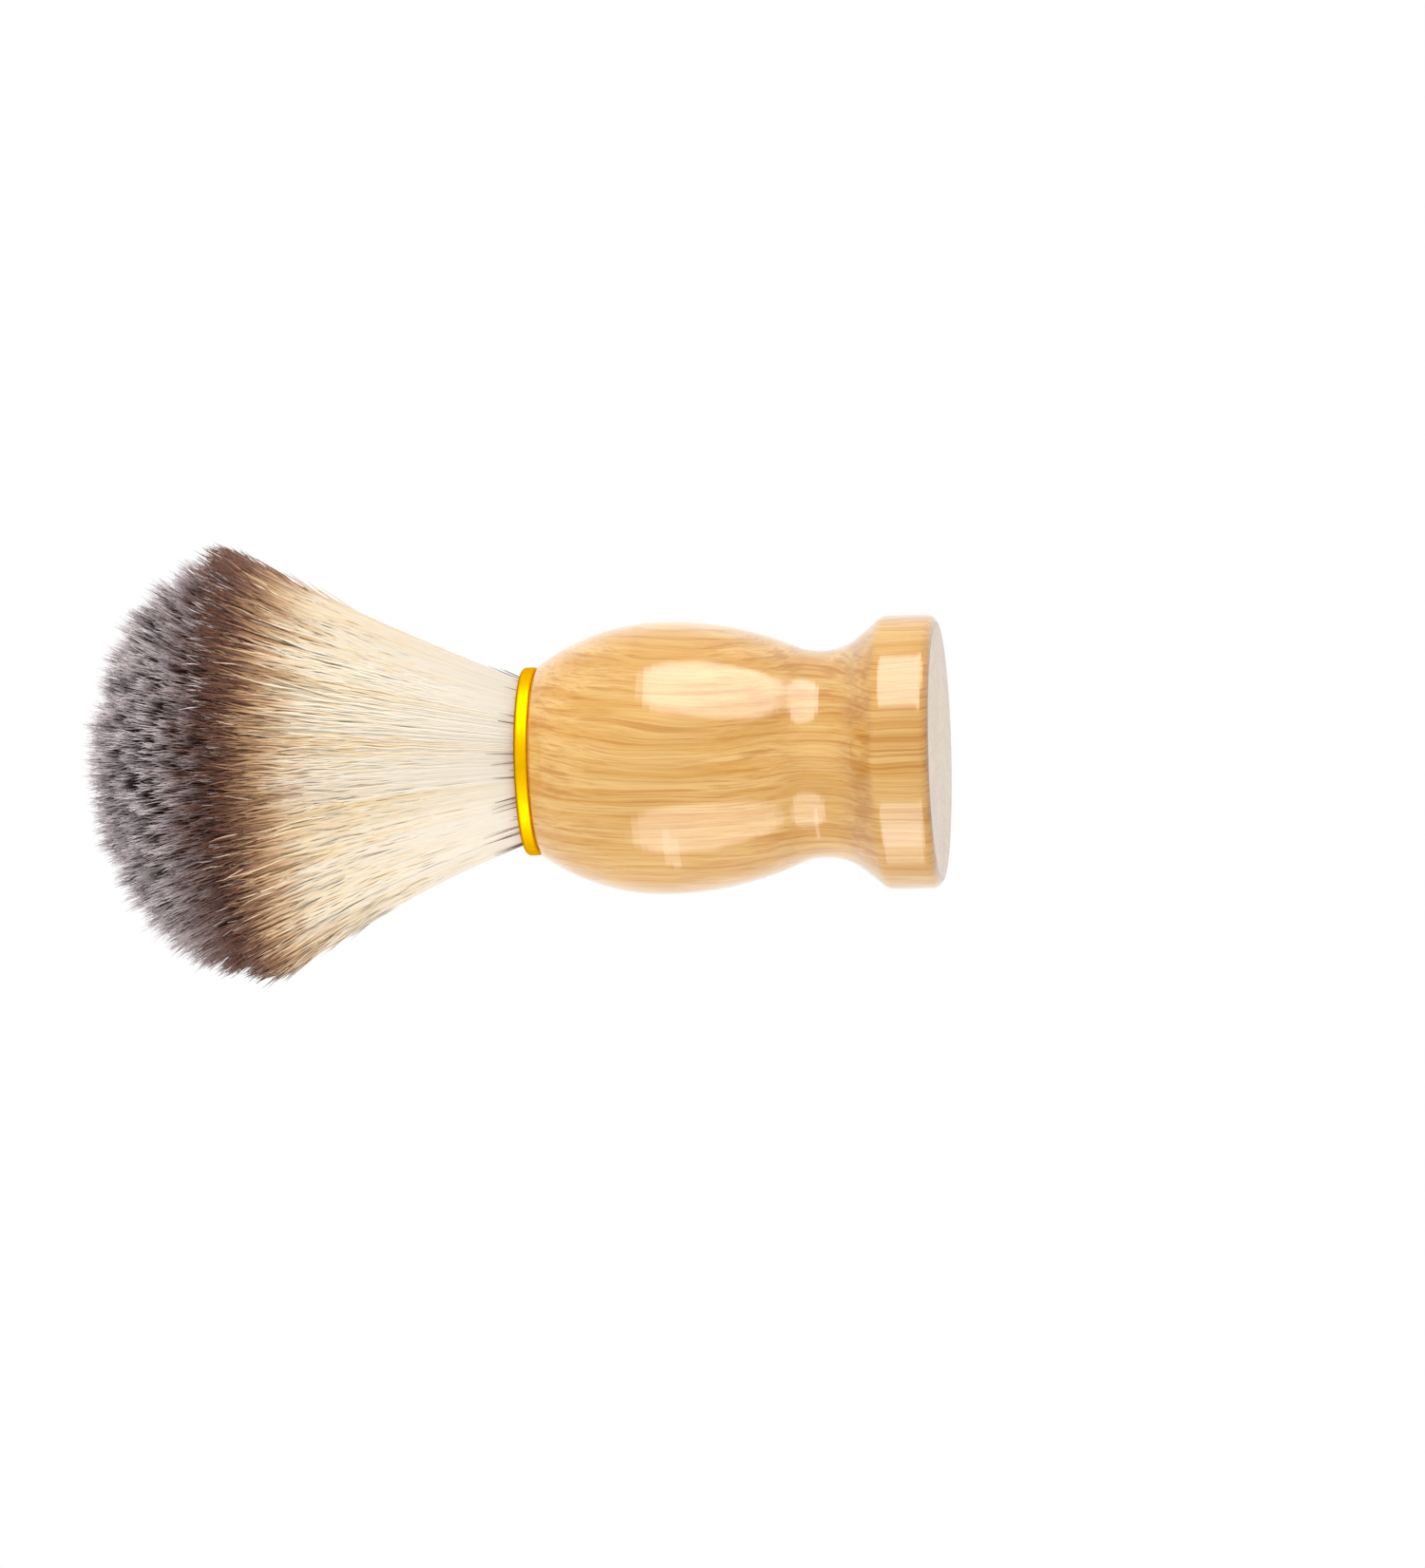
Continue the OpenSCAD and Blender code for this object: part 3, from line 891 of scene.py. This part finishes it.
def turned_mesh(name, radius, height, material):
    """A closed turned solid with a lightly fluted side, from its outline."""
    sides = 96
    angle = 2 * np.pi * np.arange(sides) / sides
    flutes = 1 + 0.012 * np.sin(17 * angle) + 0.008 * np.sin(41 * angle + 1)
    ring = radius[:, None] * flutes[None, :]
    z = np.broadcast_to((COLLAR_TOP + height)[:, None], ring.shape)
    x = ring * np.cos(angle) + lean(height)[:, None]
    side = np.stack([x, ring * np.sin(angle), z], axis=2)
    points = side.reshape(-1, 3).tolist()
    faces = []
    for low in range(0, (len(radius) - 1) * sides, sides):
        high = low + sides
        for i in range(sides):
            j = (i + 1) % sides
            faces.append((low + i, low + j, high + j, high + i))
    faces.append(tuple(reversed(range(sides))))
    faces.append(tuple(range((len(radius) - 1) * sides, len(radius) * sides)))
    mesh = bpy.data.meshes.new(name)
    mesh.from_pydata(points, [], faces)
    mesh.polygons.foreach_set("use_smooth", np.ones(len(faces), bool))
    mesh.materials.append(material)
    return place_object(name, mesh)


# ---------------- operators


def finish_node(node, material):
    """Gives a CAD node its material."""
    slots = frame["nodes"][node].data.materials
    slots.clear()
    slots.append(material)


class BRUSH_OT_shared_effects(bpy.types.Operator):
    """Build the node groups that more than one finish uses"""

    bl_idname = "brush.shared_effects"
    bl_label = "Shared Effects"

    def execute(self, context):
        build_handling_marks()
        build_turning_lines()
        build_fibre_bands()
        return {"FINISHED"}


class BRUSH_OT_handle(bpy.types.Operator):
    """Lacquer the wooden handle"""

    bl_idname = "brush.handle"
    bl_label = "Handle"

    def execute(self, context):
        finish_node("handle", wood_material())
        return {"FINISHED"}


class BRUSH_OT_collar(bpy.types.Operator):
    """Give the collar and its sleeve their gold finish"""

    bl_idname = "brush.collar"
    bl_label = "Collar"

    def execute(self, context):
        finish_node("ferrule", gold_material())
        return {"FINISHED"}


class BRUSH_OT_setting(bpy.types.Operator):
    """Finish what holds the knot inside the handle: adhesive, resin and thread"""

    bl_idname = "brush.setting"
    bl_label = "Adhesive, Resin and Thread"

    def execute(self, context):
        adhesive = cast_material("Socket adhesive", tone(226, 218, 190), tone(198, 186, 150), 3 * MM, 0.4)
        resin = cast_material("Cast resin", tone(206, 170, 112), tone(170, 128, 74), 5 * MM, 0.15)
        finish_node("socket_adhesive", adhesive)
        finish_node("resin_plug", resin)
        finish_node("binding_thread", thread_material())
        return {"FINISHED"}


class BRUSH_OT_core(bpy.types.Operator):
    """Build the dense middle of the knot, in a lower and an upper part"""

    bl_idname = "brush.core"
    bl_label = "Knot Core"

    def execute(self, context):
        material = core_material()
        # the core is split a little below the fibres' seam
        split_share = (SEAM - CORE_BOTTOM) / (CORE_TOP + 3 * MM - CORE_BOTTOM)
        lower = turned_mesh("knot_core_lower", *core_outline(0, split_share), material)
        radius, height = core_outline(split_share, 1)
        turn = np.linspace(0, np.pi / 2, CORE_STEPS)[1:-1]
        dome_radius = radius[-1] * np.cos(turn)
        dome_top = height[-1] + (LOFT - CORE_DOME_DEPTH - height[-1]) * np.sin(turn)
        radius = np.concatenate([radius, dome_radius])
        height = np.concatenate([height, dome_top])
        upper = turned_mesh("knot_core_upper", radius, height, material)
        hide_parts("knot_root", "knot_lower")
        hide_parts("knot_upper")
        blend_lower(lower)
        blend_upper(upper)
        return {"FINISHED"}


def blend_lower(piece):
    """Bakes the transform of a piece between the collar and the seam into its mesh."""
    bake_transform(piece)


def blend_upper(piece):
    """Bakes the transform of a piece above the seam into its mesh."""
    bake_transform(piece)


class BRUSH_OT_side_fibres(bpy.types.Operator):
    """Grow the long fibres of the knot's side, split where the knot's two bends meet"""

    bl_idname = "brush.side_fibres"
    bl_label = "Side Fibres"

    def execute(self, context):
        knot = context.scene.brush_knot
        fibres = side_fibres(knot)
        material = side_fibre_material()
        per_sector = COLUMNS // COLUMNS_PER_LOCK
        for sector in range(-(-knot.locks // per_sector)):
            part = pick(fibres, fibres["lock"] // per_sector == sector)
            seam = (SEAM - part["bottom"]) / (part["top"] - part["bottom"])
            nothing = np.zeros_like(seam)
            name = f"side_fibres_lower_{sector + 1}"
            lower = side_object(name, part, LOWER_STEPS, nothing, seam, knot, material)
            name = f"side_fibres_upper_{sector + 1}"
            upper = side_object(name, part, UPPER_STEPS, seam, nothing + 1, knot, material)
            blend_lower(lower)
            blend_upper(upper)
        strays = stray_ends(knot)
        nothing = np.zeros(knot.strays)
        ends = side_object("stray_ends", strays, STRAY_STEPS, nothing, nothing + 1, knot, material)
        blend_lower(ends)
        return {"FINISHED"}


class BRUSH_OT_dome_fibres(bpy.types.Operator):
    """Grow the tufts whose tips make the dome of the knot"""

    bl_idname = "brush.dome_fibres"
    bl_label = "Dome Fibres"

    def execute(self, context):
        knot = context.scene.brush_knot
        fibres = dome_fibres(knot)
        material = dome_fibre_material()
        for number in range(DOME_PIECES):
            part = pick(fibres, fibres["lock"] % DOME_PIECES == number)
            name = f"dome_fibres_{number + 1}"
            piece = dome_object(name, part, DOME_STEPS, knot.tufts, knot, material)
            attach(piece, "knot_upper")
        return {"FINISHED"}


def soft_lamp(name, direction, tilt, distance, width, height, brightness):
    """A rectangular lamp with soft edges, facing the collar.

    direction is its angle round Z from the front, and tilt its angle above the floor, in degrees.
    """
    data = bpy.data.lights.new(name, "AREA")
    data.shape = "RECTANGLE"
    data.size, data.size_y = width, height
    data.energy = brightness * math.pi * width * height
    data.use_nodes = True
    tree = Tree(data.node_tree)
    corner = tree.add("ShaderNodeNewGeometry").outputs["Parametric"]
    across, up, _ = tree.parts(corner)
    squares = [
        tree.maths("POWER", tree.maths("ABSOLUTE", tree.maths("MULTIPLY_ADD", share, 2.0, -1.0)), 3.0)
        for share in (across, up)
    ]
    mask = tree.span(tree.maths("ADD", *squares), 1.0, 0.45, 0.0, 1.15)
    tree.links.new(mask, tree.nodes["Emission"].inputs["Strength"])
    turn, rise = math.radians(direction), math.radians(tilt)
    offset = Vector((math.sin(turn) * math.cos(rise), -math.cos(turn) * math.cos(rise), math.sin(rise)))
    lamp = place_object(name, data)
    lamp.location = Vector((0, 0, COLLAR_TOP)) + offset * distance
    lamp.rotation_mode = "QUATERNION"
    lamp.rotation_quaternion = (-offset).to_track_quat("-Z", "Y")
    lamp.visible_camera = False


def build_world(ambient):
    """White to the camera and in reflections, and a plain soft light on everything else."""
    world = bpy.data.worlds.new("Studio")
    bpy.context.scene.world = world
    world.use_nodes = True
    tree = Tree(world.node_tree)
    background = tree.nodes["Background"]
    path = tree.add("ShaderNodeLightPath").outputs
    shown = tree.maths("MAXIMUM", path["Is Camera Ray"], path["Is Glossy Ray"])
    shown = tree.maths("MAXIMUM", shown, path["Is Transmission Ray"])
    strength = tree.span(shown, 0.0, 1.0, ambient, 1.0)
    tree.links.new(strength, background.inputs["Strength"])
    background.inputs["Color"].default_value = (1, 1, 1, 1)


def build_floor(colour):
    """A round pale floor that fades out, with a hole hidden under the foot. From below it isn't seen."""
    sides = 128
    z = LOWEST.z - FLOOR_GAP
    angles = [2 * math.pi * i / sides for i in range(sides)]
    radii = (FOOT_RADIUS - FLOOR_HOLE_INSET, FLOOR_RADIUS)
    points = [(r * math.cos(a), r * math.sin(a), z) for r in radii for a in angles]
    faces = [(i, sides + i, sides + (i + 1) % sides, (i + 1) % sides) for i in range(sides)]
    mesh = bpy.data.meshes.new("floor")
    mesh.from_pydata(points, [], faces)
    material, tree, shader = new_material(
        "Pale floor", Roughness=0.9, Specular_IOR_Level=0.1, Emission_Color=(1, 1, 1)
    )
    place = tree.place()
    darker = tuple(0.97 * x for x in colour)
    speckled = tree.mix(tree.noise(place, 900.0, 2.0), colour, darker)
    path = tree.add("ShaderNodeLightPath").outputs
    glow = tree.times(path["Is Camera Ray"], FLOOR_GLOW)
    tree.feed(shader, Base_Color=speckled, Emission_Strength=glow)
    clear = tree.add("ShaderNodeBsdfTransparent")
    distance = tree.add("ShaderNodeVectorMath", {0: place}, operation="LENGTH").outputs["Value"]
    fade = tree.span(distance, *FLOOR_FADE)
    backface = tree.add("ShaderNodeNewGeometry").outputs["Backfacing"]
    hidden = tree.maths("MAXIMUM", tree.maths("MAXIMUM", fade, backface), path["Is Glossy Ray"])
    mixed = tree.add("ShaderNodeMixShader", {0: hidden, 1: shader.outputs[0], 2: clear.outputs[0]})
    tree.links.new(mixed.outputs[0], tree.nodes["Material Output"].inputs["Surface"])
    mesh.materials.append(material)
    floor = place_object("floor", mesh)


def build_camera():
    """A long lens from a little below the foot, with the brush seen lying on its side."""
    data = bpy.data.cameras.new("Camera")
    data.sensor_width = 36
    data.lens = LENS
    data.clip_start, data.clip_end = 0.05, 20
    camera = place_object("Camera", data)
    bpy.context.scene.camera = camera
    place = Vector(CAMERA_PLACE)
    foot_right, foot_up, turn = (math.radians(x) for x in (FOOT_RIGHT, FOOT_UP, AXIS_TURN))
    # the foot's direction and the brush's axis, in the camera's view and in the brush's own frame
    seen_foot = Vector((math.tan(foot_right), math.tan(foot_up), -1)).normalized()
    seen_across = seen_foot.cross(Vector((-math.cos(turn), -math.sin(turn), 0))).normalized()
    real_foot = (-place).normalized()
    real_across = real_foot.cross(Vector((0, 0, 1))).normalized()
    seen = Matrix((seen_foot, seen_across, seen_foot.cross(seen_across))).transposed()
    real = Matrix((real_foot, real_across, real_foot.cross(real_across))).transposed()
    camera.matrix_world = Matrix.Translation(place) @ (real @ seen.inverted()).to_4x4()


class BRUSH_OT_stage(bpy.types.Operator):
    """Set up the floor, the lamps, the world and the camera"""

    bl_idname = "brush.stage"
    bl_label = "Stage"

    def execute(self, context):
        stage = context.scene.brush_stage
        build_world(stage.ambient)
        build_floor(tuple(stage.floor))
        # name, direction, tilt, distance, width, height and brightness
        soft_lamp("Main lamp", 63, -13, 0.7, 0.78, 0.66, stage.main_lamp)
        soft_lamp("Fill lamp", -84, 1.55, 0.7, 0.66, 0.05, stage.fill_lamp)
        soft_lamp("Front card", -64, -8, 0.8, 0.74, 0.8, stage.front_card)
        build_camera()
        context.scene.view_settings.view_transform = "Standard"
        return {"FINISHED"}


class BRUSH_PT_panel(bpy.types.Panel):
    """The brush's sizes, colours and building steps"""

    bl_label = "Shaving Brush"
    bl_idname = "BRUSH_PT_panel"
    bl_space_type = "VIEW_3D"
    bl_region_type = "UI"
    bl_category = "Brush"

    def draw(self, context):
        for group in SETTINGS:
            settings = getattr(context.scene, group)
            box = self.layout.box()
            for name in settings.bl_rna.properties.keys():
                if name not in ("rna_type", "name"):
                    box.prop(settings, name)
        for operator in OPERATORS:
            self.layout.operator(operator.bl_idname)


SETTINGS = {
    "brush_handle": HandleSettings,
    "brush_collar": CollarSettings,
    "brush_knot": KnotSettings,
    "brush_stage": StageSettings,
}
OPERATORS = (
    BRUSH_OT_shared_effects,
    BRUSH_OT_handle,
    BRUSH_OT_collar,
    BRUSH_OT_setting,
    BRUSH_OT_core,
    BRUSH_OT_side_fibres,
    BRUSH_OT_dome_fibres,
    BRUSH_OT_stage,
)


def register():
    for name, settings in SETTINGS.items():
        bpy.utils.register_class(settings)
        setattr(bpy.types.Scene, name, bpy.props.PointerProperty(type=settings))
    for operator in OPERATORS:
        bpy.utils.register_class(operator)
    bpy.utils.register_class(BRUSH_PT_panel)


def unregister():
    bpy.utils.unregister_class(BRUSH_PT_panel)
    for operator in reversed(OPERATORS):
        bpy.utils.unregister_class(operator)
    for name, settings in SETTINGS.items():
        delattr(bpy.types.Scene, name)
        bpy.utils.unregister_class(settings)


def main():
    """Builds the whole brush."""
    register()
    bpy.ops.brush.shared_effects()
    bpy.ops.brush.handle()
    bpy.ops.brush.collar()
    bpy.ops.brush.setting()
    bpy.ops.brush.core()
    bpy.ops.brush.side_fibres()
    bpy.ops.brush.dome_fibres()
    bpy.ops.brush.stage()


if __name__ == "__main__":
    main()
